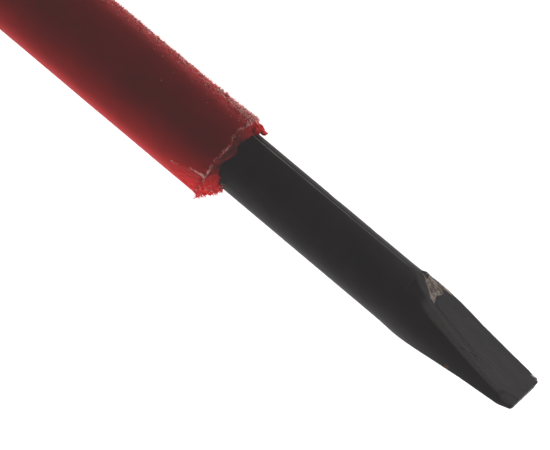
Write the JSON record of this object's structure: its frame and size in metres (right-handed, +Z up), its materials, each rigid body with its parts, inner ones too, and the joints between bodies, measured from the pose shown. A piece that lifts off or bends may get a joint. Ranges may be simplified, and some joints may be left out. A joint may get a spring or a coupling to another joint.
{
  "type": "insulated slotted screwdriver",
  "caption": "Slim insulated slotted screwdriver: black 3 mm blade with a ground flat tip, red sleeve on the blade, six-sided red and black handle, free-turning palm cap.",
  "frame": {"origin": "centre of the flat end face of the tip", "axes": "+X along the tool's axis out of the tip, +Z up with the tool lying on one flat of its six-sided handle, +Y to the left seen from the handle"},
  "size_m": [0.1746, 0.0156, 0.0142],
  "materials": {
    "blade_steel": "black-finished tool steel, satin, worn to bare steel at the tip's corners",
    "sleeve_red": "red moulded insulation, slightly translucent, scuffed",
    "handle_red": "hard moulded plastic, fine satin grain",
    "soft_grip": "soft matt elastomer",
    "pin_steel": "turned steel",
    "washer_plastic": "natural low-friction plastic",
    "bush_brass": "turned",
    "cap_black": "hard moulded plastic, satin"
  },
  "bodies": {
    "driver": {"blade": "blade_steel", "blade_sleeve": "sleeve_red", "handle_core": "handle_red", "finger_guard": "soft_grip", "fingertip_grip": "soft_grip", "grip_inlay_1": "soft_grip", "grip_inlay_2": "soft_grip", "grip_inlay_3": "soft_grip", "grip_inlay_4": "soft_grip", "grip_inlay_5": "soft_grip", "grip_inlay_6": "soft_grip", "cap_pivot_pin": "pin_steel", "thrust_washer": "washer_plastic", "pin_head_washer": "pin_steel"},
    "palm_cap": {"swivel_cap": "cap_black", "cap_insert": "handle_red", "cap_bush": "bush_brass"}
  },
  "joints": [
    {"name": "cap_swivel", "type": "hinge", "parent": "driver", "child": "palm_cap", "pos_m": [-0.168, 0, 0], "axis": [1, 0, 0], "continuous": true}
  ]
}
